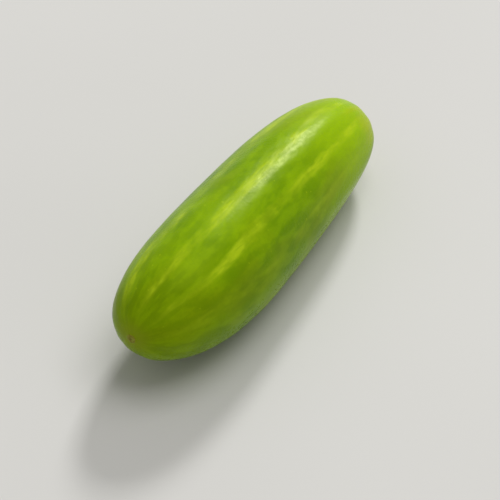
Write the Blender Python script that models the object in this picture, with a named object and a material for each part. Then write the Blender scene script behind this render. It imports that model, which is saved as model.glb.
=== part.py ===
"""An ivy gourd at rest on its side: one grown fruit, made as one closed skin.

Metres, +Z up. +X runs along the fruit from the blossom end to the stem end. The floor is z = 0,
and the origin is on it, under the middle of the fruit's box.
"""

import math

import bpy
import numpy as np

MM = 0.001

# Size of the fruit
LENGTH = 58.0 * MM  # tip to tip
MID_GIRTH = 18.2 * MM  # across at mid-length; the widest place, nearer the blossom end, is 18.7 mm

# Shape along the fruit
BLOSSOM_FULLNESS = 2.4  # 2 would be an ellipse, and a higher value is blunter
STEM_FULLNESS = 3.3
TAPER = 0.16  # share that the blossom end is wider by, and the stem end narrower
BOW = -0.5 * MM  # sideways, at mid-length
BOW_SHIFT = 1.3 * MM  # moves the bow towards the blossom end

# Shape across the fruit
RIBS = 10
RIB_HEIGHT = 0.05 * MM
RIB_FADE = 3.0 * MM  # girth radius under which the ribs die out towards a tip
FURROW_DOWN = -math.pi / 2  # a furrow between two ribs faces the floor
OVAL = 0.012
OVAL_ANGLE = math.radians(35)
SWELL = 0.009  # slow swelling on one side and then the other
SWELL_WAVES = 4.2
SWELL_ANGLE = math.radians(65)

# Scar at the stem end: a shallow dish with a corky ring
DISH_DEPTH = 0.45 * MM
DISH_RADIUS = 2.4 * MM
RING_HEIGHT = 0.3 * MM
RING_RADIUS = 0.95 * MM
RING_WIDTH = 0.38 * MM

# Scar at the blossom end: a small dry button with a pit
BUTTON_HEIGHT = 0.25 * MM
BUTTON_RADIUS = 0.65 * MM
BUTTON_EDGE = 6  # how steep its edge is
PIT_DEPTH = 0.18 * MM
PIT_RADIUS = 0.3 * MM

# How it lies
REST_PITCH = math.radians(3.2)  # the stem end droops until the weight is over the lowest place
FLAT_DEPTH = 0.22 * MM  # how much the skin gives where it rests

# Mesh
SEGMENTS = 80  # eight to a rib
END_RINGS = 12
END_STEP = 0.25 * MM
MIDDLE_RINGS = 42
FINE_STEPS = 20000

SKIN_COLOUR = (0.21, 0.33, 0.01, 1.0)
SKIN_ROUGHNESS = 0.35


def clear_scene():
    for thing in list(bpy.context.scene.objects):
        bpy.data.objects.remove(thing, do_unlink=True)


def half_width(s):
    """The fruit's radius at station s, from -1 at the blossom tip to 1 at the stem tip."""
    fullness = np.where(s < 0, BLOSSOM_FULLNESS, STEM_FULLNESS)
    rounding = (1 - np.abs(s) ** fullness) ** (1 / fullness)
    return MID_GIRTH / 2 * rounding * (1 - TAPER * s)


def stations():
    """Stations from tip to tip, close together near the tips and even between them."""
    fine = -np.cos(np.linspace(0, math.pi, FINE_STEPS + 1))
    steps = np.hypot(np.diff(fine) * LENGTH / 2, np.diff(half_width(fine)))
    walked = np.concatenate(([0], np.cumsum(steps)))
    end = END_STEP * np.arange(END_RINGS)
    middle = np.linspace(END_STEP * END_RINGS, walked[-1] - END_STEP * END_RINGS, MIDDLE_RINGS)
    along = np.concatenate((end, middle, walked[-1] - end[::-1]))
    return np.interp(along, walked, fine)


def unevenness(s, angle):
    """Share of the radius by which the fruit is out of round."""
    oval = OVAL * np.cos(2 * (angle - OVAL_ANGLE))
    swell = SWELL * np.sin(SWELL_WAVES * s) * np.cos(angle - SWELL_ANGLE)
    return oval + swell


def rib_height(radius, angle):
    """Low ribs that run the length of the fruit and die out towards both tips."""
    fade = radius**2 / (radius**2 + RIB_FADE**2)
    return -RIB_HEIGHT * np.cos(RIBS * (angle - FURROW_DOWN)) * fade


def stem_scar(radius):
    """How far the skin stands out at the stem end, at this distance from the tip."""
    dish = DISH_DEPTH * np.exp(-((radius / DISH_RADIUS) ** 2))
    ring = RING_HEIGHT * np.exp(-(((radius - RING_RADIUS) / RING_WIDTH) ** 2))
    return ring - dish


def blossom_scar(radius):
    """How far the skin stands out at the blossom end, at this distance from the tip."""
    button = BUTTON_HEIGHT / (1 + (radius / BUTTON_RADIUS) ** BUTTON_EDGE)
    pit = PIT_DEPTH * np.exp(-((radius / PIT_RADIUS) ** 2))
    return button - pit


def skin_points():
    """One row of points for each ring, with a tip at either end, about a level axis."""
    s = stations()[:, None]
    angle = 2 * math.pi * np.arange(SEGMENTS)[None, :] / SEGMENTS
    radius = half_width(s)
    reach = radius * (1 + unevenness(s, angle)) + rib_height(radius, angle)
    scars = np.where(s > 0, stem_scar(radius), -blossom_scar(radius))
    x = s * LENGTH / 2 + scars + 0 * angle
    y = (BOW + BOW_SHIFT * s) * (1 - s**2) + reach * np.cos(angle)
    z = reach * np.sin(angle)
    rings = np.stack((x, y, z), axis=-1)
    tips = rings[[0, -1]].mean(axis=1)
    return np.vstack((rings[1:-1].reshape(-1, 3), tips))


def skin_faces(count):
    """Rings of quads closed by a fan at each tip, the two tips being the last points."""
    rings = (count - 2) // SEGMENTS
    blossom_tip, stem_tip = count - 2, count - 1
    last = (rings - 1) * SEGMENTS
    faces = []
    for side in range(SEGMENTS):
        beside = (side + 1) % SEGMENTS
        faces.append((blossom_tip, beside, side))
        for start in range(0, last, SEGMENTS):
            after = start + SEGMENTS
            faces.append((start + side, start + beside, after + beside, after + side))
        faces.append((last + side, last + beside, stem_tip))
    return faces


def laid_down(points):
    """Tilts the fruit to its resting pitch and presses it lightly on the floor."""
    x, y, z = points.T
    along = x * math.cos(REST_PITCH) + z * math.sin(REST_PITCH)
    height = z * math.cos(REST_PITCH) - x * math.sin(REST_PITCH)
    height = np.maximum(height - height.min() - FLAT_DEPTH, 0)
    along = along - (along.min() + along.max()) / 2
    across = y - (y.min() + y.max()) / 2
    return np.column_stack((along, across, height))


def skin_material():
    material = bpy.data.materials.new("gourd_skin")
    material.use_nodes = True
    shader = material.node_tree.nodes["Principled BSDF"]
    shader.inputs["Base Color"].default_value = SKIN_COLOUR
    shader.inputs["Roughness"].default_value = SKIN_ROUGHNESS
    shader.inputs["Metallic"].default_value = 0.0
    material.diffuse_color = SKIN_COLOUR
    return material


def make_gourd():
    points = laid_down(skin_points())
    mesh = bpy.data.meshes.new("gourd")
    mesh.from_pydata(points.tolist(), [], skin_faces(len(points)))
    mesh.validate()
    mesh.shade_smooth()
    mesh.materials.append(skin_material())
    gourd = bpy.data.objects.new("gourd", mesh)
    bpy.context.scene.collection.objects.link(gourd)
    return gourd


clear_scene()
make_gourd()
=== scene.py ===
# %% [markdown]
# # An ivy gourd, as picked
#
# An ivy gourd is the fruit of a climbing vine: as long as a thumb, three times as long as it is
# thick, smooth and waxy. Its skin is yellow-green, with about ten pale streaks that run from end to
# end and are broken into dashes. The flower leaves a small dry button at the broad end, and the
# stalk a corky ring at the narrow one.
#
# The solid that this scene dresses already has the right shape, but with few faces. It could be
# smoothed and painted as it is, but its facets would show in the gloss. So the same rule grows a
# much finer skin here, the two scars get their cork, and nodes paint the colours. Nothing is loaded
# from a picture.

# %% Load the frame
import math
from typing import NamedTuple

import bpy
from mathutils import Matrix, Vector


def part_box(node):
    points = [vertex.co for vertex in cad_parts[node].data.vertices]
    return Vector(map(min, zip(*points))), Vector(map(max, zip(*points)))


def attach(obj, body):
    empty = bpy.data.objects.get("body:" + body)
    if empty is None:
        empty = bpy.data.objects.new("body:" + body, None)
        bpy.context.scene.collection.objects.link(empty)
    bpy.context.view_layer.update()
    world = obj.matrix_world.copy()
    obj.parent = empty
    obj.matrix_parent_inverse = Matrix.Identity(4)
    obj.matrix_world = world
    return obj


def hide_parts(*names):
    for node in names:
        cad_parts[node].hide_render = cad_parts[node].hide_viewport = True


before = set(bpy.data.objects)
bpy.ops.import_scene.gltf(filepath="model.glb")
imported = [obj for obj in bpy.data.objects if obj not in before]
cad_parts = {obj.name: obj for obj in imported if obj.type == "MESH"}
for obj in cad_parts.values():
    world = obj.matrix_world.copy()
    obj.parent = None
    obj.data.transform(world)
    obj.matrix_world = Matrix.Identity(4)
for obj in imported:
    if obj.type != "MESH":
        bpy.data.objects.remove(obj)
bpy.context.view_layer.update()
MM = 0.001
gourd_low, gourd_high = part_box("gourd")
print("solid fruit, mm:", [round(side / MM, 2) for side in gourd_high - gourd_low])

# %% [markdown]
# ## Arithmetic that turns into nodes
#
# The fruit's shape and its markings are formulas. In a node tree each sum is a Math node, and a
# long chain of them is hard to read when every node and link is spelled out. With the small class
# below, a formula is written as ordinary arithmetic, and each operation adds its Math node. It
# works alike in a geometry tree and in a material.

# %% Nodes by name
TURN = 2 * math.pi


def feed(tree, value, slot):
    """Gives an input either a link or a plain value."""
    if isinstance(value, Number):
        tree.links.new(value.socket, slot)
    elif isinstance(value, bpy.types.NodeSocket):
        tree.links.new(value, slot)
    else:
        slot.default_value = value


def put(tree, kind, inputs=None, **settings):
    """Adds a node with its options set and its inputs fed by name."""
    node = tree.nodes.new(kind)
    for name, value in settings.items():
        setattr(node, name, value)
    for name, value in (inputs or {}).items():
        feed(tree, value, node.inputs[name])
    return node


def shown(slots):
    """The inputs or outputs that a node has with its present options."""
    return [slot for slot in slots if slot.enabled]


# %% Numbers that build Math nodes
class Number:
    """A number in a node tree. Arithmetic on it adds Math nodes."""

    def __init__(self, tree, socket):
        self.tree = tree
        self.socket = socket

    def math(self, operation, *values):
        """Adds a Math node that works on these values."""
        node = put(self.tree, "ShaderNodeMath", operation=operation)
        for value, slot in zip(values, node.inputs):
            feed(self.tree, value, slot)
        return Number(self.tree, node.outputs[0])

    def __add__(self, other):
        return self.math("ADD", self, other)

    def __radd__(self, other):
        return self.math("ADD", other, self)

    def __sub__(self, other):
        return self.math("SUBTRACT", self, other)

    def __rsub__(self, other):
        return self.math("SUBTRACT", other, self)

    def __mul__(self, other):
        return self.math("MULTIPLY", self, other)

    def __rmul__(self, other):
        return self.math("MULTIPLY", other, self)

    def __truediv__(self, other):
        return self.math("DIVIDE", self, other)

    def __rtruediv__(self, other):
        return self.math("DIVIDE", other, self)

    def __pow__(self, other):
        return self.math("POWER", self, other)

    def __abs__(self):
        return self.math("ABSOLUTE", self)

    def sin(self):
        return self.math("SINE", self)

    def cos(self):
        return self.math("COSINE", self)

    def angle_to(self, other):
        """The angle round the origin of the point with these two coordinates."""
        return self.math("ARCTAN2", other, self)

    def bell(self):
        """1 where the number is 0, falling away smoothly on both sides."""
        return self.math("EXPONENT", self * self * -1.0)

    def above(self, limit):
        """1 where the number is over the limit, 0 elsewhere."""
        return self.math("GREATER_THAN", self, limit)

    def at_least(self, limit):
        """The number, but never less than the limit."""
        return self.math("MAXIMUM", self, limit)

    def ramp(self, start, end):
        """0 up to start, 1 from end, and a smooth step between."""
        limits = {"Value": self, "From Min": start, "From Max": end}
        node = put(self.tree, "ShaderNodeMapRange", limits, interpolation_type="SMOOTHSTEP")
        return Number(self.tree, node.outputs["Result"])


def parts_of(tree, vector):
    """The three numbers of a vector."""
    node = put(tree, "ShaderNodeSeparateXYZ", {"Vector": vector})
    return [Number(tree, socket) for socket in node.outputs]


def vector_of(tree, x, y, z):
    """A vector of these three numbers."""
    return put(tree, "ShaderNodeCombineXYZ", {"X": x, "Y": y, "Z": z}).outputs["Vector"]


def noise(tree, vector, scale=1.0, detail=2.0, roughness=0.5):
    """Smooth noise from 0 to 1, most of it near the middle."""
    inputs = {"Vector": vector, "Scale": scale, "Detail": detail, "Roughness": roughness}
    return Number(tree, put(tree, "ShaderNodeTexNoise", inputs).outputs[0])


def swing(tree, vector, **settings):
    """The same noise, but from -1 to 1."""
    return (noise(tree, vector, **settings) - 0.5) * 2.0


# %% [markdown]
# ## Trees that can be read in the editor
#
# A tree made by a script has all its nodes on one spot. Each node here is moved into a column: one
# step to the right of the last node that feeds it.

# %% Lay out a tree
COLUMN = 200
ROW = 190


def lay_out(tree):
    """Places nodes in columns by how far they are from the tree's inputs."""
    depth = {node: 0 for node in tree.nodes}
    for _ in tree.nodes:
        moved = False
        for link in tree.links:
            if depth[link.to_node] <= depth[link.from_node]:
                depth[link.to_node] = depth[link.from_node] + 1
                moved = True
        if not moved:
            break
    filled = {}
    for node in tree.nodes:
        column = depth[node]
        filled[column] = filled.get(column, 0) + 1
        node.location = (column * COLUMN, -filled[column] * ROW)


# %% [markdown]
# ## Growing a mesh from a tree
#
# Each tree has a named input for every size, so it can be tried with other values in the editor.
# The script sets those inputs by their identifiers, reads the finished mesh once, and throws the
# source object away, so that the piece is a plain mesh with no modifier left.

# %% Tree and piece helpers
SOCKET_KINDS = {
    int: "NodeSocketInt",
    float: "NodeSocketFloat",
    bpy.types.Material: "NodeSocketMaterial",
    Vector: "NodeSocketVector",
}


def geometry_tree(name, sizes):
    """A geometry tree with one named input for each size, and those inputs as numbers."""
    tree = bpy.data.node_groups.new(name, "GeometryNodeTree")
    tree.interface.new_socket(name="Geometry", in_out="OUTPUT", socket_type="NodeSocketGeometry")
    for size, value in sizes.items():
        kind = SOCKET_KINDS[type(value)]
        tree.interface.new_socket(name=size, in_out="INPUT", socket_type=kind)
    entry = put(tree, "NodeGroupInput")
    return tree, {size: Number(tree, entry.outputs[size]) for size in sizes}


def finish_tree(tree, geometry, material):
    """Ends a tree: real geometry, smooth faces and the piece's material."""
    real = put(tree, "GeometryNodeRealizeInstances", {"Geometry": geometry})
    smooth = put(tree, "GeometryNodeSetShadeSmooth", {"Geometry": real.outputs["Geometry"]})
    painted = put(
        tree,
        "GeometryNodeSetMaterial",
        {"Geometry": smooth.outputs["Geometry"], "Material": material},
    )
    put(tree, "NodeGroupOutput", {"Geometry": painted.outputs["Geometry"]})
    lay_out(tree)


def grow(name, tree, sizes):
    """Runs a tree with these sizes and returns its result as a plain mesh object."""
    source = bpy.data.objects.new(name + "_source", bpy.data.meshes.new(name + "_source"))
    bpy.context.scene.collection.objects.link(source)
    modifier = source.modifiers.new("grow", "NODES")
    modifier.node_group = tree
    for item in tree.interface.items_tree:
        if item.in_out == "INPUT":
            modifier[item.identifier] = sizes[item.name]
    evaluated = source.evaluated_get(bpy.context.evaluated_depsgraph_get())
    mesh = bpy.data.meshes.new_from_object(evaluated)
    mesh.name = name
    bpy.data.objects.remove(source, do_unlink=True)
    piece = bpy.data.objects.new(name, mesh)
    bpy.context.scene.collection.objects.link(piece)
    mesh.calc_loop_triangles()
    print(name, "triangles:", len(mesh.loop_triangles))
    return piece


# %% [markdown]
# ## Skins that close on themselves
#
# The fruit and both scars are round things with a tip at either end. Each starts as a flat sheet:
# one side of it runs from tip to tip, and the other goes round. A formula sends every point of the
# sheet to its place, and the meeting edges are then merged, so the skin is closed. The sheet's own
# coordinates stay on the mesh as its UV map.

# %% A sheet rolled into a skin
WELD = 0.0004 * MM


def sheet(tree, rings, segments):
    """A unit sheet with its UV map, its share of the way from tip to tip, and its angle round."""
    flat = put(tree, "GeometryNodeMeshGrid", {"Vertices X": rings, "Vertices Y": segments})
    mapped = put(
        tree,
        "GeometryNodeStoreNamedAttribute",
        {"Geometry": flat.outputs["Mesh"], "Name": "UVMap", "Value": flat.outputs["UV Map"]},
        data_type="FLOAT2",
        domain="CORNER",
    )
    place = put(tree, "GeometryNodeInputPosition").outputs["Position"]
    x, y, _ = parts_of(tree, place)  # each from -0.5 to 0.5
    return mapped.outputs["Geometry"], x + 0.5, (0.5 - y) * TURN


def keep_vector(tree, geometry, name, value):
    """Stores a vector for each point, for the material to read."""
    node = put(
        tree,
        "GeometryNodeStoreNamedAttribute",
        {"Geometry": geometry, "Name": name, "Value": value},
        data_type="FLOAT_VECTOR",
        domain="POINT",
    )
    return node.outputs["Geometry"]


def moved_to(tree, geometry, position):
    """Moves each point to the position worked out for it."""
    node = put(tree, "GeometryNodeSetPosition", {"Geometry": geometry, "Position": position})
    return node.outputs["Geometry"]


def welded(tree, geometry):
    """Merges the edges of a sheet where they meet."""
    node = put(tree, "GeometryNodeMergeByDistance", {"Geometry": geometry, "Distance": WELD})
    return node.outputs["Geometry"]


# %% [markdown]
# ## The fruit's own shape
#
# Seen from the side the fruit is a rounded block more than an egg: full over most of its length,
# blunt at the stem end and rounder at the blossom end. A superellipse gives that outline with one
# number for each end, and a straight taper makes the blossom end the wider one. The sizes are those
# of the solid. A fruit of this kind is about 58 mm long and 19 mm thick.
#
# The ribs are only a twentieth of a millimetre high. They can't be seen as such, but they break the
# light into lengthwise bands, which a perfectly round skin would not.

# %% Sizes of the fruit
BODY = {
    "Rings": 361,
    "Segments": 261,
    "End Crowding": 0.55,
    "Length": 58.0 * MM,
    "Mid Girth": 18.2 * MM,
    "Blossom Fullness": 2.4,
    "Stem Fullness": 3.3,
    "Taper": 0.16,
    "Bow": -0.5 * MM,
    "Bow Shift": 1.3 * MM,
    "Ribs": 10.0,
    "Rib Height": 0.05 * MM,
    "Rib Fade": 3.0 * MM,
    "Furrow Angle": -math.pi / 2,
    "Oval": 0.012,
    "Oval Angle": math.radians(35),
    "Swell": 0.009,
    "Swell Waves": 4.2,
    "Swell Angle": math.radians(65),
    "Dish Depth": 0.45 * MM,
    "Dish Radius": 2.4 * MM,
    "Ring Height": 0.3 * MM,
    "Ring Radius": 0.95 * MM,
    "Ring Width": 0.38 * MM,
    "Button Height": 0.25 * MM,
    "Button Radius": 0.65 * MM,
    "Button Edge": 6.0,
    "Pit Depth": 0.18 * MM,
    "Pit Radius": 0.3 * MM,
    "Pitch": math.radians(3.2),
    "Flat Depth": 0.22 * MM,
    "Dent Depth": 0.08 * MM,
    "Ripple Height": 0.065 * MM,
}
PROFILE_POINTS = 4000
print("fruit, mm:", round(BODY["Length"] / MM, 1), "by", round(BODY["Mid Girth"] / MM, 1))

# %% Its outline as a curve
def half_width(station, size):
    """The fruit's radius at a station, from -1 at the blossom tip to 1 at the stem tip."""
    stem_side = station.above(0.0)
    blossom = size["Blossom Fullness"]
    fullness = blossom + (size["Stem Fullness"] - blossom) * stem_side
    rounding = (1.0 - abs(station) ** fullness) ** (1.0 / fullness)
    return size["Mid Girth"] / 2.0 * rounding * (1.0 - size["Taper"] * station)


def outline_curve(tree, size):
    """Half of the fruit's outline, from tip to tip, as a curve in the XY plane."""
    line = put(tree, "GeometryNodeCurvePrimitiveLine").outputs["Curve"]
    fine = put(tree, "GeometryNodeResampleCurve", {"Curve": line, "Count": PROFILE_POINTS})
    factor = Number(tree, put(tree, "GeometryNodeSplineParameter").outputs["Factor"])
    station = (factor * math.pi).cos() * -1.0
    x = station * size["Length"] / 2.0
    return moved_to(tree, fine.outputs["Curve"], vector_of(tree, x, half_width(station, size), 0.0))


# %% [markdown]
# The rings are counted along the skin, not along the axis, or they would lie far apart at the blunt
# ends. Sample Curve does that: it gives the point at any share of the outline's length. They also
# crowd a little towards the tips, where the scars need the detail.

# %% Where a ring crosses the outline
def ring_place(tree, size, share):
    """(share of the way along the skin, x, radius) of the ring at this share of the sheet."""
    crowded = share - size["End Crowding"] / TURN * (share * TURN).sin()
    sought = {"Curves": outline_curve(tree, size), "Factor": crowded}
    sample = put(tree, "GeometryNodeSampleCurve", sought, mode="FACTOR")
    x, radius, _ = parts_of(tree, sample.outputs["Position"])
    return crowded, x, radius


# %% Relief of the skin
def unevenness(station, angle, size):
    """Share of the radius by which the fruit is out of round."""
    oval = size["Oval"] * ((angle - size["Oval Angle"]) * 2.0).cos()
    swell = size["Swell"] * (station * size["Swell Waves"]).sin()
    return oval + swell * (angle - size["Swell Angle"]).cos()


def rib_height(radius, angle, size):
    """Low ribs that die out towards both tips."""
    squared = radius * radius
    fade = squared / (squared + size["Rib Fade"] * size["Rib Fade"])
    wave = ((angle - size["Furrow Angle"]) * size["Ribs"]).cos()
    return wave * size["Rib Height"] * fade * -1.0


def stem_relief(radius, size):
    """How far the skin stands out at the stem end: a shallow dish with a ring in it."""
    dish = (radius / size["Dish Radius"]).bell() * size["Dish Depth"]
    ring = ((radius - size["Ring Radius"]) / size["Ring Width"]).bell() * size["Ring Height"]
    return ring - dish


def blossom_relief(radius, size):
    """How far the skin stands out at the blossom end: a button with a pit."""
    button = size["Button Height"] / (1.0 + (radius / size["Button Radius"]) ** size["Button Edge"])
    return button - (radius / size["Pit Radius"]).bell() * size["Pit Depth"]


# %% [markdown]
# A real skin also has soft dents, where the fruit grew against a leaf or a wire. They are a noise
# that is stretched lengthwise, and about as deep as a sheet of paper is thick, so they show only in
# how the light breaks on them.

# %% Soft dents
DENT_LENGTH = 16.0 * MM
DENT_WIDTH = 5.0 * MM
RIPPLE_LENGTH = 5.0 * MM
RIPPLE_WIDTH = 2.0 * MM
SKIN_RADIUS = 9.2 * MM
DENTS_START = 0.3  # distance from the axis at which the dents set in, in rib fades
DENTS_FULL = 1.5


def stretched(tree, place, length, width):
    """Coordinates for a pattern whose grains are this long and this wide on the skin."""
    along, y, z = place
    across = SKIN_RADIUS / width
    return vector_of(tree, along / length, y * across, z * across)


def dents(tree, place, radius, size):
    """Soft hollows and swellings, and finer ripples on them, as a height."""
    hollows = swing(tree, stretched(tree, place, DENT_LENGTH, DENT_WIDTH))
    ripples = swing(tree, stretched(tree, place, RIPPLE_LENGTH, RIPPLE_WIDTH))
    height = hollows * size["Dent Depth"] + ripples * size["Ripple Height"]
    return height * (radius / size["Rib Fade"]).ramp(DENTS_START, DENTS_FULL)


# %% [markdown]
# The fruit is first made about a level axis. It then leans until its weight is over its lowest
# place, is set down, and is pressed flat by a fifth of a millimetre where it rests. The material
# needs to know where on the skin it is, so each point keeps its distance from the blossom tip
# and its direction from the axis. Those could be worked out again in the material, but only if it
# knew the lean and the bow as well.

# %% Set the fruit down
def leaned(tree, x, y, z, size):
    """Turns a point about the crosswise axis, with the stem end going down."""
    cosine, sine = size["Pitch"].cos(), size["Pitch"].sin()
    return vector_of(tree, x * cosine + z * sine, y, z * cosine - x * sine)


def set_down(tree, geometry, size):
    """Centres the fruit over the origin and presses it on the floor."""
    box = put(tree, "GeometryNodeBoundBox", {"Geometry": geometry})
    low = parts_of(tree, box.outputs["Min"])
    high = parts_of(tree, box.outputs["Max"])
    x, y, z = parts_of(tree, put(tree, "GeometryNodeInputPosition").outputs["Position"])
    x = x - (low[0] + high[0]) / 2.0
    y = y - (low[1] + high[1]) / 2.0
    z = (z - low[2] - size["Flat Depth"]).at_least(0.0)
    return moved_to(tree, geometry, vector_of(tree, x, y, z))


# %% The whole fruit as one tree
def gourd_tree(sizes):
    """The fruit's skin, with its place on the fruit kept at every point."""
    tree, size = geometry_tree("gourd_body", sizes)
    flat, share, angle = sheet(tree, size["Rings"], size["Segments"])
    crowded, x, radius = ring_place(tree, size, share)
    station = x / (size["Length"] / 2.0)
    place = (crowded * size["Length"], angle.cos(), angle.sin())
    reach = radius * (1.0 + unevenness(station, angle, size))
    reach = reach + rib_height(radius, angle, size) + dents(tree, place, radius, size)
    stem_side = station.above(0.0)
    stands = stem_relief(radius, size) * stem_side
    stands = stands - blossom_relief(radius, size) * (1.0 - stem_side)
    bow = (size["Bow"] + size["Bow Shift"] * station) * (1.0 - station * station)
    spot = leaned(tree, x + stands, bow + reach * angle.cos(), reach * angle.sin(), size)
    noted = keep_vector(tree, flat, "skin_place", vector_of(tree, *place))
    grown = set_down(tree, moved_to(tree, noted, spot), size)
    finish_tree(tree, welded(tree, grown), size["Material"])
    return tree


# %% [markdown]
# ## Effects that several finishes share
#
# Soft patches of colour and small flecks turn up on the skin and on both scars, only in other
# sizes, and the floor has faint patches too. Each is a node group, built once and placed in a
# material with its own values. A group puts out a mask from 0 to 1, and the material decides which
# colours it blends.

# %% Node groups for masks
CLOUD_ROUGHNESS = 0.55
WANDER_SCALE = 1.7  # grain of the noise that pushes flecks out of line, in cells
WANDER_DETAIL = 2.0
LEAST_FLECK = 0.4  # the smallest fleck's size; the largest is one more
FLECK_CORE = 0.55  # share of a fleck that is solid


def mask_group(name, sizes):
    """A shader node group that takes a vector and numbers, and puts out a mask."""
    tree = bpy.data.node_groups.new(name, "ShaderNodeTree")
    tree.interface.new_socket(name="Vector", in_out="INPUT", socket_type="NodeSocketVector")
    for size, value in sizes.items():
        slot = tree.interface.new_socket(name=size, in_out="INPUT", socket_type="NodeSocketFloat")
        slot.default_value = value
    tree.interface.new_socket(name="Mask", in_out="OUTPUT", socket_type="NodeSocketFloat")
    entry = put(tree, "NodeGroupInput")
    return tree, {socket.name: Number(tree, socket) for socket in entry.outputs if socket.name}


def close_group(tree, result):
    """Ends a mask group."""
    put(tree, "NodeGroupOutput", {"Mask": result})
    lay_out(tree)
    return tree


def patches_group():
    """Cloudy patches. Share is how much of the surface they take, Edge how soft they end."""
    tree, ask = mask_group("patches", {"Scale": 1.0, "Detail": 3.0, "Share": 0.5, "Edge": 0.1})
    cloud = noise(tree, ask["Vector"], ask["Scale"], ask["Detail"], CLOUD_ROUGHNESS)
    level = 1.0 - ask["Share"]
    return close_group(tree, cloud.ramp(level - ask["Edge"], level + ask["Edge"]))


def flecks_group():
    """Small separate flecks, one to a cell, of uneven size. Share is how many cells have one."""
    sizes = {"Scale": 1.0, "Size": 0.3, "Share": 0.5, "Warp": 0.25}
    tree, ask = mask_group("flecks", sizes)
    grain = {"Vector": ask["Vector"], "Scale": ask["Scale"] * WANDER_SCALE, "Detail": WANDER_DETAIL}
    wander = put(tree, "ShaderNodeTexNoise", grain).outputs["Color"]
    push = {"Vector": wander, "Scale": ask["Warp"] / ask["Scale"]}
    shifted = put(tree, "ShaderNodeVectorMath", push, operation="SCALE")
    place = put(tree, "ShaderNodeVectorMath", operation="ADD")
    feed(tree, ask["Vector"], place.inputs[0])
    feed(tree, shifted.outputs[0], place.inputs[1])
    cells = put(tree, "ShaderNodeTexVoronoi", {"Vector": place.outputs[0], "Scale": ask["Scale"]})
    distance = Number(tree, cells.outputs["Distance"])
    chance, size_draw, _ = parts_of(tree, cells.outputs["Color"])
    reach = ask["Size"] * (LEAST_FLECK + size_draw)
    spot = 1.0 - distance.ramp(reach * FLECK_CORE, reach)
    return close_group(tree, spot * (1.0 - chance.above(ask["Share"])))


PATCHES = patches_group()
FLECKS = flecks_group()
print("mask groups:", {group.name: len(group.nodes) for group in (PATCHES, FLECKS)}, "nodes")

# %% Place a mask and blend two colours
def mask(tree, group, vector, **sizes):
    """Places a mask group in a material with its own values."""
    node = put(tree, "ShaderNodeGroup", node_tree=group)
    feed(tree, vector, node.inputs["Vector"])
    for name, value in sizes.items():
        feed(tree, value, node.inputs[name])
    return Number(tree, node.outputs["Mask"])


def blend(tree, factor, under, over):
    """A colour that goes from under to over as the factor goes from 0 to 1."""
    node = put(tree, "ShaderNodeMix", data_type="RGBA")
    for slot, value in zip(shown(node.inputs), (factor, under, over)):
        feed(tree, value, slot)
    return shown(node.outputs)[0]


# %% [markdown]
# ## The colour of the skin
#
# The green of a fresh ivy gourd is strong and yellow, with next to no blue in it. It is never one
# colour: there are cloudy patches of deeper green and of olive, the stem half is paler, and the
# skin turns yellow round the stem scar. Fine pale dots lie all over it. The blossom half is made
# duller
# and darker: partly its own olive, partly painted shade on the end turned away from the light. The
# top side, where the lamps fall, is painted paler, which is painted light.
#
# One wide colour ramp could give the change from end to end, but every patch would then follow the
# same line. Here each effect is a coat of its own: a mask, a colour, and how strongly it shows. The
# coats are laid over each other in the order of the list, and any of them can be changed alone.

# %% Skin colours
DEEP_GREEN = (0.125, 0.248, 0.0015, 1.0)
YELLOW_GREEN = (0.218, 0.368, 0.0020, 1.0)
OLIVE = (0.212, 0.278, 0.0020, 1.0)
# partly the blossom half's own olive, partly painted shade
DULL_OLIVE_SHADE = (0.182, 0.268, 0.0015, 1.0)
PALE_GREEN = (0.470, 0.610, 0.0140, 1.0)
SHOULDER_GREEN = (0.325, 0.515, 0.0030, 1.0)
STEM_YELLOW = (0.410, 0.455, 0.0080, 1.0)
BLOSSOM_OLIVE = (0.250, 0.320, 0.0080, 1.0)
DRY_MARK = (0.240, 0.170, 0.030, 1.0)

COATS = {
    "stem half": (SHOULDER_GREEN, 0.80),
    # partly painted shade: the blossom half, turned away from the light, is made duller and darker
    "dull shaded blossom half": (DULL_OLIVE_SHADE, 0.45),
    # painted light: the top side, where the lamps fall, is made paler
    "painted light on top": (SHOULDER_GREEN, 0.11),
    "mottle": (SHOULDER_GREEN, 0.30),
    "olives": (OLIVE, 0.38),
    "grain": (DEEP_GREEN, 0.20),
    "bands": (PALE_GREEN, 0.18),
    "dashes": (PALE_GREEN, 0.64),
    "dots": (PALE_GREEN, 0.26),
    "stem end": (STEM_YELLOW, 0.60),
    "blossom end": (BLOSSOM_OLIVE, 0.70),
    "scuffs": (DRY_MARK, 0.70),
}
print("coats over the ground colour:", len(COATS))

# %% [markdown]
# Most of the patches are longer than they are wide, because the skin stretches as the fruit grows.
# They are noises on coordinates that are stretched along the fruit. The coordinates come from the
# direction round the axis, and not from a flat map, so the patterns have no seam and close up at
# the tips.

# %% Patches along the fruit
class Patch(NamedTuple):
    """Patches of this length and width on the skin, and how much of it they take."""

    length: float
    width: float
    share: float
    edge: float
    detail: float = 3.0


def skin_coordinates(tree):
    """The distance from the blossom tip in metres, and the direction from the axis as (y, z)."""
    noted = put(tree, "ShaderNodeAttribute", attribute_name="skin_place")
    return parts_of(tree, noted.outputs["Vector"])


def patches(tree, place, kind):
    """A mask of stretched patches of this kind."""
    vector = stretched(tree, place, kind.length, kind.width)
    return mask(tree, PATCHES, vector, Detail=kind.detail, Share=kind.share, Edge=kind.edge)


def never_under(least, share):
    """Lifts a mask so that it goes from this least value to 1."""
    return least + share * (1.0 - least)
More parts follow.
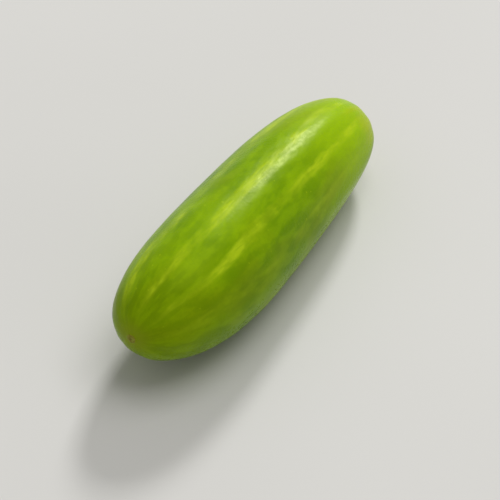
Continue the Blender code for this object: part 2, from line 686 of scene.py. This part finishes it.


# %% [markdown]
# ## Streaks
#
# The streaks lie in the ten furrows. Each is a faint pale band that wavers and fades in and out,
# and on it lie shorter dashes that are paler still. The streaks are real, but they are made clear
# on the top side, where the lamps fall, and hardly show on the other: that is painted light.
#
# Each streak could be a curve drawn on the skin. A wave round the axis that peaks in every furrow
# gives all ten at once, and noises break it up, so that no two streaks are alike.

# %% Streaks
SWAY_LENGTH = 14.0 * MM
SWAY_WIDTH = 6.0 * MM
SWAY = 1.2  # how far a streak wanders from its furrow, as an angle of the wave
BREAKS = Patch(5.0 * MM, 1.5 * MM, share=0.50, edge=0.08, detail=2.0)
DASHES = Patch(5.0 * MM, 2.4 * MM, share=0.51, edge=0.08, detail=2.0)
FIBRES = Patch(2.4 * MM, 0.65 * MM, share=0.50, edge=0.12)
SPELLS = Patch(11.0 * MM, 5.0 * MM, share=0.57, edge=0.10, detail=1.0)
BAND_EDGE = (0.20, 0.95)  # heights of the wave between which a band fades in
DASH_EDGE = (0.30, 1.00)
STREAKS_START = (1.5 * MM, 9.0 * MM)
STREAKS_END = (50.0 * MM, 56.5 * MM)
LEAST_BAND = 0.15
LEAST_FIBRE = 0.40
LEAST_SPELL = 0.20
LEAST_SHADE = 0.20
# The top side, where the lamps fall, is painted paler, and the real streaks are made stronger
# there: painted light.
LIT_SIDE_ANGLE = math.radians(85)
LIT_SIDE_EDGE = (0.10, 0.80)


def lit_top_side(place):
    """The top side of the fruit, where the lamps fall, which is painted paler: painted light."""
    _, y, z = place
    facing = y * math.cos(LIT_SIDE_ANGLE) + z * math.sin(LIT_SIDE_ANGLE)
    return facing.ramp(*LIT_SIDE_EDGE)


def furrow_wave(tree, place):
    """A wave round the axis that is 1 in every furrow and wanders a little."""
    _, y, z = place
    angle = y.angle_to(z)
    wandering = swing(tree, stretched(tree, place, SWAY_LENGTH, SWAY_WIDTH), detail=1.0) * SWAY
    return ((angle - BODY["Furrow Angle"]) * BODY["Ribs"] + wandering).cos()


def streak_masks(tree, place):
    """(faint bands, pale dashes), both along the ten furrows."""
    along = place[0]
    wave = furrow_wave(tree, place)
    bands = wave.ramp(*BAND_EDGE) * never_under(LEAST_BAND, patches(tree, place, BREAKS))
    fibres = never_under(LEAST_FIBRE, patches(tree, place, FIBRES))
    dashes = wave.ramp(*DASH_EDGE) * patches(tree, place, DASHES) * fibres
    between_ends = along.ramp(*STREAKS_START) * (1.0 - along.ramp(*STREAKS_END))
    spells = never_under(LEAST_SPELL, patches(tree, place, SPELLS))
    # painted light: the streaks are made stronger on the lit top side
    there = between_ends * spells * never_under(LEAST_SHADE, lit_top_side(place))
    return bands * there, dashes * there


furrow_angles = [BODY["Furrow Angle"] + TURN * n / BODY["Ribs"] for n in range(round(BODY["Ribs"]))]
print("streaks round the axis, degrees:", [round(math.degrees(a)) for a in furrow_angles])

# %% [markdown]
# ## The two ends, and scuffs
#
# Each end has its own tone: yellow round the stem scar, where the skin ripens first, and olive
# round the button. The yellow has an uneven outline, which comes from adding a noise to the
# distance before it is cut off. Scuffs are dry lines where the fruit rubbed against its vine. They
# are thin patches that show only inside larger ones, so they come in a few small groups.

# %% Tones along the fruit
STEM_HALF_START = (32.0 * MM, 48.0 * MM)
STEM_HALF_END = (50.0 * MM, 57.0 * MM)
STEM_HALF_LOSS = 0.6  # how much of the paler tone goes again at the very end
# The blossom half is made duller and darker: partly its own olive, partly painted shade.
BLOSSOM_HALF = (4.0 * MM, 20.0 * MM)
STEM_END = (BODY["Length"] - 8.0 * MM, BODY["Length"] + 1.0 * MM)
STEM_END_SWAY = 5.0 * MM
STEM_END_PATCH = Patch(8.0 * MM, 4.0 * MM, share=0.45, edge=0.16)
BLOSSOM_END = (0.6 * MM, 3.6 * MM)
SCUFF_LINES = Patch(3.0 * MM, 0.4 * MM, share=0.30, edge=0.03)
SCUFF_GROUPS = Patch(9.0 * MM, 5.0 * MM, share=0.30, edge=0.05)


def stem_half(along):
    """The stem half, where the fruit is paler, less so at the end itself."""
    return along.ramp(*STEM_HALF_START) * (1.0 - along.ramp(*STEM_HALF_END) * STEM_HALF_LOSS)


def stem_end(tree, place):
    """The yellow tinge round the stem scar."""
    sway = patches(tree, place, STEM_END_PATCH) * STEM_END_SWAY
    return (place[0] + sway).ramp(*STEM_END)


def scuffs(tree, place):
    """Dry lines, in a few small groups."""
    return patches(tree, place, SCUFF_LINES) * patches(tree, place, SCUFF_GROUPS)


# %% [markdown]
# ## The skin as a material
#
# The wax on the skin gives a soft gloss with yellow in it, duller on the olive patches. A trace of
# light goes into the skin and comes out beside it, which softens the shadows. Fine grain and the
# raised dashes are a bump: they are only hundredths of a millimetre high, too low for the mesh.

# %% Skin material
CLOUDS = {"Scale": 95.0, "Detail": 3.0, "Share": 0.5, "Edge": 0.16}
GRAIN = {"Scale": 1900.0, "Detail": 2.0, "Share": 0.5, "Edge": 0.20}
DOTS = {"Scale": 1050.0, "Size": 0.15, "Share": 0.36}
OLIVE_PATCH = Patch(13.0 * MM, 7.0 * MM, share=0.42, edge=0.10)
MOTTLE_PATCH = Patch(3.4 * MM, 1.7 * MM, share=0.48, edge=0.10, detail=2.0)
GRAIN_HEIGHT, DOT_HEIGHT, DASH_HEIGHT = 0.5, 0.2, 0.8
SKIN_BUMP = {"Strength": 0.18, "Distance": 0.05 * MM}
ROUGHNESS, OLIVE_ROUGHNESS, GRAIN_ROUGHNESS = 0.25, 0.08, 0.06
WAX = {
    "IOR": 1.4,
    "Specular IOR Level": 0.13,
    "Specular Tint": (1.0, 1.0, 0.10, 1.0),
    "Subsurface Weight": 0.06,
    "Subsurface Radius": (0.8, 1.0, 0.1),
    "Subsurface Scale": 0.6 * MM,
}


def start_material(name):
    """A new material and its empty node tree."""
    material = bpy.data.materials.new(name)
    material.use_nodes = True
    material.node_tree.nodes.clear()
    return material, material.node_tree


def finish_material(material, inputs):
    """Ends a material with a shader that has these inputs."""
    tree = material.node_tree
    shader = put(tree, "ShaderNodeBsdfPrincipled", inputs)
    put(tree, "ShaderNodeOutputMaterial", {"Surface": shader.outputs["BSDF"]})
    lay_out(tree)
    print(material.name, "material:", len(tree.nodes), "nodes")
    return material


def bumped(tree, height, sizes):
    """The surface's normal, tilted as if it had this height."""
    return put(tree, "ShaderNodeBump", {"Height": height, **sizes}).outputs["Normal"]


def skin_masks(tree):
    """Every mask of the skin, by the name of its coat."""
    place = skin_coordinates(tree)
    along = place[0]
    solid = put(tree, "ShaderNodeTexCoord").outputs["Object"]
    bands, dashes = streak_masks(tree, place)
    return {
        "clouds": mask(tree, PATCHES, solid, **CLOUDS),
        "stem half": stem_half(along),
        # partly painted shade: a duller, darker blossom half
        "dull shaded blossom half": 1.0 - along.ramp(*BLOSSOM_HALF),
        # painted light: a paler top side, where the lamps fall
        "painted light on top": lit_top_side(place),
        "mottle": patches(tree, place, MOTTLE_PATCH),
        "olives": patches(tree, place, OLIVE_PATCH),
        "grain": mask(tree, PATCHES, solid, **GRAIN),
        "bands": bands,
        "dashes": dashes,
        "dots": mask(tree, FLECKS, solid, **DOTS),
        "stem end": stem_end(tree, place),
        "blossom end": 1.0 - along.ramp(*BLOSSOM_END),
        "scuffs": scuffs(tree, place),
    }


def skin_material():
    """The ground colour, every coat over it, the fine relief and the wax."""
    material, tree = start_material("gourd_skin")
    masks = skin_masks(tree)
    colour = blend(tree, masks["clouds"], DEEP_GREEN, YELLOW_GREEN)
    for name, (paint, strength) in COATS.items():
        colour = blend(tree, masks[name] * strength, colour, paint)
    height = masks["grain"] * GRAIN_HEIGHT + masks["dots"] * DOT_HEIGHT
    height = height + masks["dashes"] * DASH_HEIGHT
    roughness = ROUGHNESS + masks["olives"] * OLIVE_ROUGHNESS + masks["grain"] * GRAIN_ROUGHNESS
    normal = bumped(tree, height, SKIN_BUMP)
    return finish_material(
        material, {"Base Color": colour, "Roughness": roughness, "Normal": normal, **WAX}
    )


SKIN = skin_material()

# %% [markdown]
# ## Grow the fruit
#
# The tree runs once and gives a plain mesh. It could be scaled to fit the solid's box, but it is
# better left as the rule makes it and compared: how far each side of the box is off is printed.

# %% Fruit
BODY["Material"] = SKIN
gourd = grow("gourd_fruit", gourd_tree(BODY), BODY)
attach(gourd, "root")
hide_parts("gourd")

corners = [vertex.co for vertex in gourd.data.vertices]
for axis, name in enumerate("xyz"):
    low = min(corner[axis] for corner in corners) - gourd_low[axis]
    high = max(corner[axis] for corner in corners) - gourd_high[axis]
    print(name, "sides off by, mm:", round(low / MM, 3), round(high / MM, 3))

# %% [markdown]
# ## The two scars
#
# The stalk leaves a ring of cork, and in it a circle of small stubs, the ends of the vessels that
# fed the fruit. The flower leaves a dry button. Both are thin crusts on the skin's own relief.
#
# A crust could be painted on. It would look right from a step away, but its edge would be a line
# of colour, and not a step that catches the light. So each is a skin of its own: it follows the
# ring or the button a few hundredths of a millimetre higher, with fibres that run outwards, and
# its ragged edge dips under the green.

# %% Sizes of the scars
CRUST = {
    "Rings": 101,
    "Segments": 121,
    "Reach": 1.5 * MM,
    "Lift": 0.05 * MM,
    "Root": 0.70 * MM,
    "Raggedness": 0.16,
    "Fibre Height": 0.06 * MM,
}


def shared_sizes(*words):
    """The fruit's own sizes whose names start with one of these words."""
    return {name: value for name, value in BODY.items() if name.split()[0] in words}


# %% A crust over a scar
EDGE_ROUNDING = 0.14  # share of the sheet, on each side of the rim, that turns under
EDGE_LIFT_LOSS = 0.7  # how much of its lift a crust has lost at its rim
RIM_SCALE = 2.2
RIM_DETAIL = 3.0
FIBRE_LENGTH = 0.5 * MM
FIBRES_ROUND = 5.0
FIBRE_DETAIL = {"detail": 3.0, "roughness": 0.65}
FIBRES_START = (0.15, 0.9)  # distance from the middle over which they set in, in fibre lengths


def crust(tree, size, relief):
    """A closed skin whose top follows the relief, and whose underside is sunk in the fruit."""
    flat, share, angle = sheet(tree, size["Rings"], size["Segments"])
    side = share * 2.0 - 1.0
    y, z = angle.cos(), angle.sin()
    rim = swing(tree, vector_of(tree, y, z, 0.0), scale=RIM_SCALE, detail=RIM_DETAIL)
    radius = size["Reach"] * (1.0 - abs(side)) * (1.0 + rim * size["Raggedness"])
    grain = vector_of(tree, radius / FIBRE_LENGTH, y * FIBRES_ROUND, z * FIBRES_ROUND)
    fibres = swing(tree, grain, **FIBRE_DETAIL) * size["Fibre Height"]
    fibres = fibres * (radius / FIBRE_LENGTH).ramp(*FIBRES_START)
    lift = size["Lift"] * (1.0 - (radius / size["Reach"]) ** 2.0 * EDGE_LIFT_LOSS)
    top = relief(radius, size) - relief(0.0, size) + lift + fibres
    topside = side.ramp(-EDGE_ROUNDING, EDGE_ROUNDING)
    x = top * topside - size["Root"] * (1.0 - topside)
    noted = keep_vector(tree, flat, "crust_place", vector_of(tree, radius, y, z))
    return moved_to(tree, noted, vector_of(tree, x, radius * y, radius * z))


def turned_into_place(tree, geometry, size):
    """Turns a scar that faces +X the way the fruit lies, and moves it to the fruit's tip."""
    pose = {"Geometry": geometry, "Translation": size["Place"], "Rotation": size["Turn"]}
    return put(tree, "GeometryNodeTransform", pose).outputs["Geometry"]


# %% [markdown]
# Instance on Points puts one knob on each point of a circle, and a random scale with a fixed seed
# makes them uneven. Modelling nine knobs by hand would give no better ones, and their number is now
# a single input.

# %% Stem scar, with the ends of its vessels
STEM_SCAR = {
    **CRUST,
    **shared_sizes("Dish", "Ring"),
    "Vessels": 9,
    "Vessel Circle": 0.55 * MM,
    "Vessel Radius": 0.13 * MM,
    "Vessel Seed": 7,
}
VESSEL_SCALES = (0.6, 1.25)  # the smallest and the largest knob
VESSEL_ROUNDING = 3


def vessel_stubs(tree, size):
    """A circle of small knobs, each of its own size, sunk to half in the cork."""
    ring = {"Vertices": size["Vessels"], "Radius": size["Vessel Circle"]}
    circle = put(tree, "GeometryNodeMeshCircle", ring)
    height = stem_relief(size["Vessel Circle"], size) - stem_relief(0.0, size) + size["Lift"]
    y, z, _ = parts_of(tree, put(tree, "GeometryNodeInputPosition").outputs["Position"])
    upright = moved_to(tree, circle.outputs["Mesh"], vector_of(tree, height, y, z))
    ball = {"Radius": size["Vessel Radius"], "Subdivisions": VESSEL_ROUNDING}
    knob = put(tree, "GeometryNodeMeshIcoSphere", ball).outputs["Mesh"]
    draw = put(tree, "FunctionNodeRandomValue", {"Seed": size["Vessel Seed"]}, data_type="FLOAT")
    for value, slot in zip(VESSEL_SCALES, shown(draw.inputs)):
        slot.default_value = value
    placed = {"Points": upright, "Instance": knob, "Scale": shown(draw.outputs)[0]}
    return put(tree, "GeometryNodeInstanceOnPoints", placed).outputs["Instances"]


def stem_scar_tree(sizes):
    """The stem scar: a crust over the ring, and the stubs in it."""
    tree, size = geometry_tree("stem_scar", sizes)
    both = put(tree, "GeometryNodeJoinGeometry")
    feed(tree, welded(tree, crust(tree, size, stem_relief)), both.inputs["Geometry"])
    feed(tree, vessel_stubs(tree, size), both.inputs["Geometry"])
    finish_tree(tree, turned_into_place(tree, both.outputs["Geometry"], size), size["Material"])
    return tree


# %% Blossom scar
BLOSSOM_SCAR = {
    **CRUST,
    **shared_sizes("Button", "Pit"),
    "Reach": 0.80 * MM,
    "Lift": 0.04 * MM,
    "Fibre Height": 0.04 * MM,
}


def blossom_scar_tree(sizes):
    """The blossom scar: a crust over the button."""
    tree, size = geometry_tree("blossom_scar", sizes)
    button = welded(tree, crust(tree, size, blossom_relief))
    finish_tree(tree, turned_into_place(tree, button, size), size["Material"])
    return tree


# %% [markdown]
# ## Cork
#
# Cork is dead, dry tissue: matt, tan where it is fresh and brown where it has weathered, darkest in
# the middle, and green at its edge, where it thins out over the living skin. The button is the same
# stuff, only paler and greener. So one recipe serves both, with other colours. It uses the same two
# mask groups as the skin, at a finer scale.

# %% Cork
class Cork(NamedTuple):
    """Colours of a crust, and how dark its middle is."""

    pale: tuple
    dark: tuple
    middle: tuple
    middle_strength: float


STEM_CORK = Cork(
    pale=(0.370, 0.250, 0.045, 1.0),
    dark=(0.165, 0.095, 0.016, 1.0),
    middle=(0.085, 0.050, 0.008, 1.0),
    middle_strength=0.6,
)
BUTTON_CORK = Cork(
    pale=(0.330, 0.340, 0.040, 1.0),
    dark=(0.215, 0.195, 0.018, 1.0),
    middle=(0.135, 0.100, 0.012, 1.0),
    middle_strength=0.5,
)
GREEN_EDGE = (0.260, 0.260, 0.015, 1.0)
CORK_CLOUDS = {"Scale": 2600.0, "Detail": 4.0, "Share": 0.5, "Edge": 0.12}
CORK_FLECKS = {"Scale": 6500.0, "Size": 0.30, "Share": 0.55}
FLECK_STRENGTH = 0.6
CORK_MIDDLE = (0.10, 0.42)  # in shares of the crust's reach
CORK_RIM = (0.66, 0.95)
RIM_STRENGTH = 0.8
CORK_BUMP = {"Strength": 0.8, "Distance": 0.04 * MM}
CORK_ROUGHNESS, CLOUD_ROUGHER = 0.75, 0.15
CORK_GLOSS = {"Specular IOR Level": 0.2}
CLOUD_HEIGHT, FLECK_HEIGHT = 0.6, -0.8


def crust_material(name, cork, reach):
    """Dry cork: pale and dark in patches and flecks, greener towards its edge."""
    material, tree = start_material(name)
    noted = put(tree, "ShaderNodeAttribute", attribute_name="crust_place")
    share = parts_of(tree, noted.outputs["Vector"])[0] / reach
    solid = put(tree, "ShaderNodeTexCoord").outputs["Object"]
    clouds = mask(tree, PATCHES, solid, **CORK_CLOUDS)
    flecks = mask(tree, FLECKS, solid, **CORK_FLECKS)
    colour = blend(tree, clouds, cork.pale, cork.dark)
    colour = blend(tree, flecks * FLECK_STRENGTH, colour, cork.dark)
    inside = 1.0 - share.ramp(*CORK_MIDDLE)
    colour = blend(tree, inside * cork.middle_strength, colour, cork.middle)
    colour = blend(tree, share.ramp(*CORK_RIM) * RIM_STRENGTH, colour, GREEN_EDGE)
    roughness = CORK_ROUGHNESS + clouds * CLOUD_ROUGHER
    normal = bumped(tree, clouds * CLOUD_HEIGHT + flecks * FLECK_HEIGHT, CORK_BUMP)
    return finish_material(
        material, {"Base Color": colour, "Roughness": roughness, "Normal": normal, **CORK_GLOSS}
    )


# %% [markdown]
# ## Put the scars on the fruit
#
# A scar is made at the origin, facing along the fruit. Its tree then turns it by the fruit's lean,
# and moves it to the tip of the finished skin, so no second formula has to know where that is.

# %% Scars in place
def tip_of(mesh, end):
    """The point of the skin at its least or greatest distance from the blossom tip."""
    noted = mesh.attributes["skin_place"].data
    index = end(range(len(noted)), key=lambda point: noted[point].vector[0])
    return mesh.vertices[index].co.copy()


def grow_scar(name, scar_tree, sizes, material, tip, turn):
    """Grows a scar at this tip, turned the way the fruit lies."""
    settings = {**sizes, "Material": material, "Place": tip, "Turn": turn}
    piece = grow(name, scar_tree(settings), settings)
    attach(piece, "root")
    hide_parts("gourd")
    print(name, "is at, mm:", [round(side / MM, 2) for side in tip])


stem_cork = crust_material("stem_cork", STEM_CORK, STEM_SCAR["Reach"])
stem_turn = Vector((0.0, BODY["Pitch"], 0.0))
stem_tip = tip_of(gourd.data, max)
grow_scar("stem_scar", stem_scar_tree, STEM_SCAR, stem_cork, stem_tip, stem_turn)

button_cork = crust_material("blossom_button", BUTTON_CORK, BLOSSOM_SCAR["Reach"])
blossom_turn = Vector((0.0, -BODY["Pitch"], math.pi))
blossom_tip = tip_of(gourd.data, min)
grow_scar("blossom_scar", blossom_scar_tree, BLOSSOM_SCAR, button_cork, blossom_tip, blossom_turn)

# %% [markdown]
# ## Floor
#
# A plain pale floor shows the fruit's colour and its outline best. A pure white one would throw
# too much light back on the underside, so this one is a light grey with the faintest clouds in it.
# It is so wide that its edge is out of sight, except from just above the floor, where it is a far
# level line.

# %% Floor
FLOOR_SIDE = 6.0  # metres
FLOOR_CLOUDS = {"Scale": 9.0, "Detail": 2.0, "Share": 0.5, "Edge": 0.3}
FLOOR_GREY = (0.60, 0.59, 0.57, 1.0)
FLOOR_PALE = (0.64, 0.63, 0.61, 1.0)
FLOOR_ROUGHNESS = 0.7


def floor_material():
    """A dull light grey with faint clouds."""
    material, tree = start_material("floor")
    solid = put(tree, "ShaderNodeTexCoord").outputs["Object"]
    clouds = mask(tree, PATCHES, solid, **FLOOR_CLOUDS)
    colour = blend(tree, clouds, FLOOR_GREY, FLOOR_PALE)
    return finish_material(material, {"Base Color": colour, "Roughness": FLOOR_ROUGHNESS})


half = FLOOR_SIDE / 2
floor_mesh = bpy.data.meshes.new("floor")
floor_corners = [(-half, -half, 0), (half, -half, 0), (half, half, 0), (-half, half, 0)]
floor_mesh.from_pydata(floor_corners, [], [(0, 1, 2, 3)])
floor_mesh.materials.append(floor_material())
floor = bpy.data.objects.new("floor", floor_mesh)
bpy.context.scene.collection.objects.link(floor)

# %% [markdown]
# ## Light
#
# The fruit is lit softly from behind and above, as on a table by a window. The window makes the
# long highlight along the top, and its width sets how sharp that highlight is. One small lamp
# would leave hard shadows and a dot of glare, so a second, wider one overhead fills the near side,
# and the world adds an even pale light from all round.

# %% Light
WORLD_COLOUR = (1.0, 1.0, 0.96, 1.0)
WORLD_STRENGTH = 0.38
LAMP_DISTANCE = 2.0
WINDOW = {"direction": (0.79, 0.23, 0.57), "size": 0.35, "power": 24.0}
OVERHEAD = {"direction": (0.25, -0.20, 0.95), "size": 1.4, "power": 16.0}


def soft_light(name, direction, size, power):
    """A square light that faces the fruit from this direction."""
    data = bpy.data.lights.new(name, "AREA")
    data.size = size
    data.energy = power
    lamp = bpy.data.objects.new(name, data)
    aim = Vector(direction).normalized()
    lamp.location = aim * LAMP_DISTANCE
    lamp.rotation_euler = aim.to_track_quat("Z", "Y").to_euler()
    bpy.context.scene.collection.objects.link(lamp)
    print(name, "light:", size, "m wide,", power, "W")


world = bpy.data.worlds.new("studio")
world.use_nodes = True
background = world.node_tree.nodes["Background"]
background.inputs["Color"].default_value = WORLD_COLOUR
background.inputs["Strength"].default_value = WORLD_STRENGTH
bpy.context.scene.world = world
soft_light("window", **WINDOW)
soft_light("overhead", **OVERHEAD)

# %% [markdown]
# ## Camera
#
# The camera looks down at 45 degrees, from the blossom end, along a fruit that lies at a slant
# across the view. It stands 60 cm away with a long lens, because so small a thing seen from close
# by would look swollen at its near end. The lens is worked out from the width that the picture
# takes in.

# %% Camera
AZIMUTH = math.radians(-56.5)
ELEVATION = math.radians(45)
DISTANCE = 0.60
FRAME_MM = 72.0
SENSOR_MM = 36.0
DROP_MM = 3.5  # how far under the fruit's middle the camera aims
right = Vector((math.cos(AZIMUTH), math.sin(AZIMUTH), 0.0))
level = Vector((math.sin(AZIMUTH), -math.cos(AZIMUTH), 0.0))
back = level * math.cos(ELEVATION) + Vector((0.0, 0.0, math.sin(ELEVATION)))
up = back.cross(right)
centre = (gourd_low + gourd_high) / 2
target = centre - up * DROP_MM * MM

camera_data = bpy.data.cameras.new("camera")
camera_data.sensor_width = SENSOR_MM
camera_data.lens = SENSOR_MM * DISTANCE / (FRAME_MM * MM)
camera = bpy.data.objects.new("camera", camera_data)
camera.location = target + back * DISTANCE
camera.rotation_euler = back.to_track_quat("Z", "Y").to_euler()
bpy.context.scene.collection.objects.link(camera)
bpy.context.scene.camera = camera
bpy.context.scene.view_settings.view_transform = "Standard"
print("camera: lens", round(camera_data.lens), "mm, frame", FRAME_MM, "mm wide at the fruit")
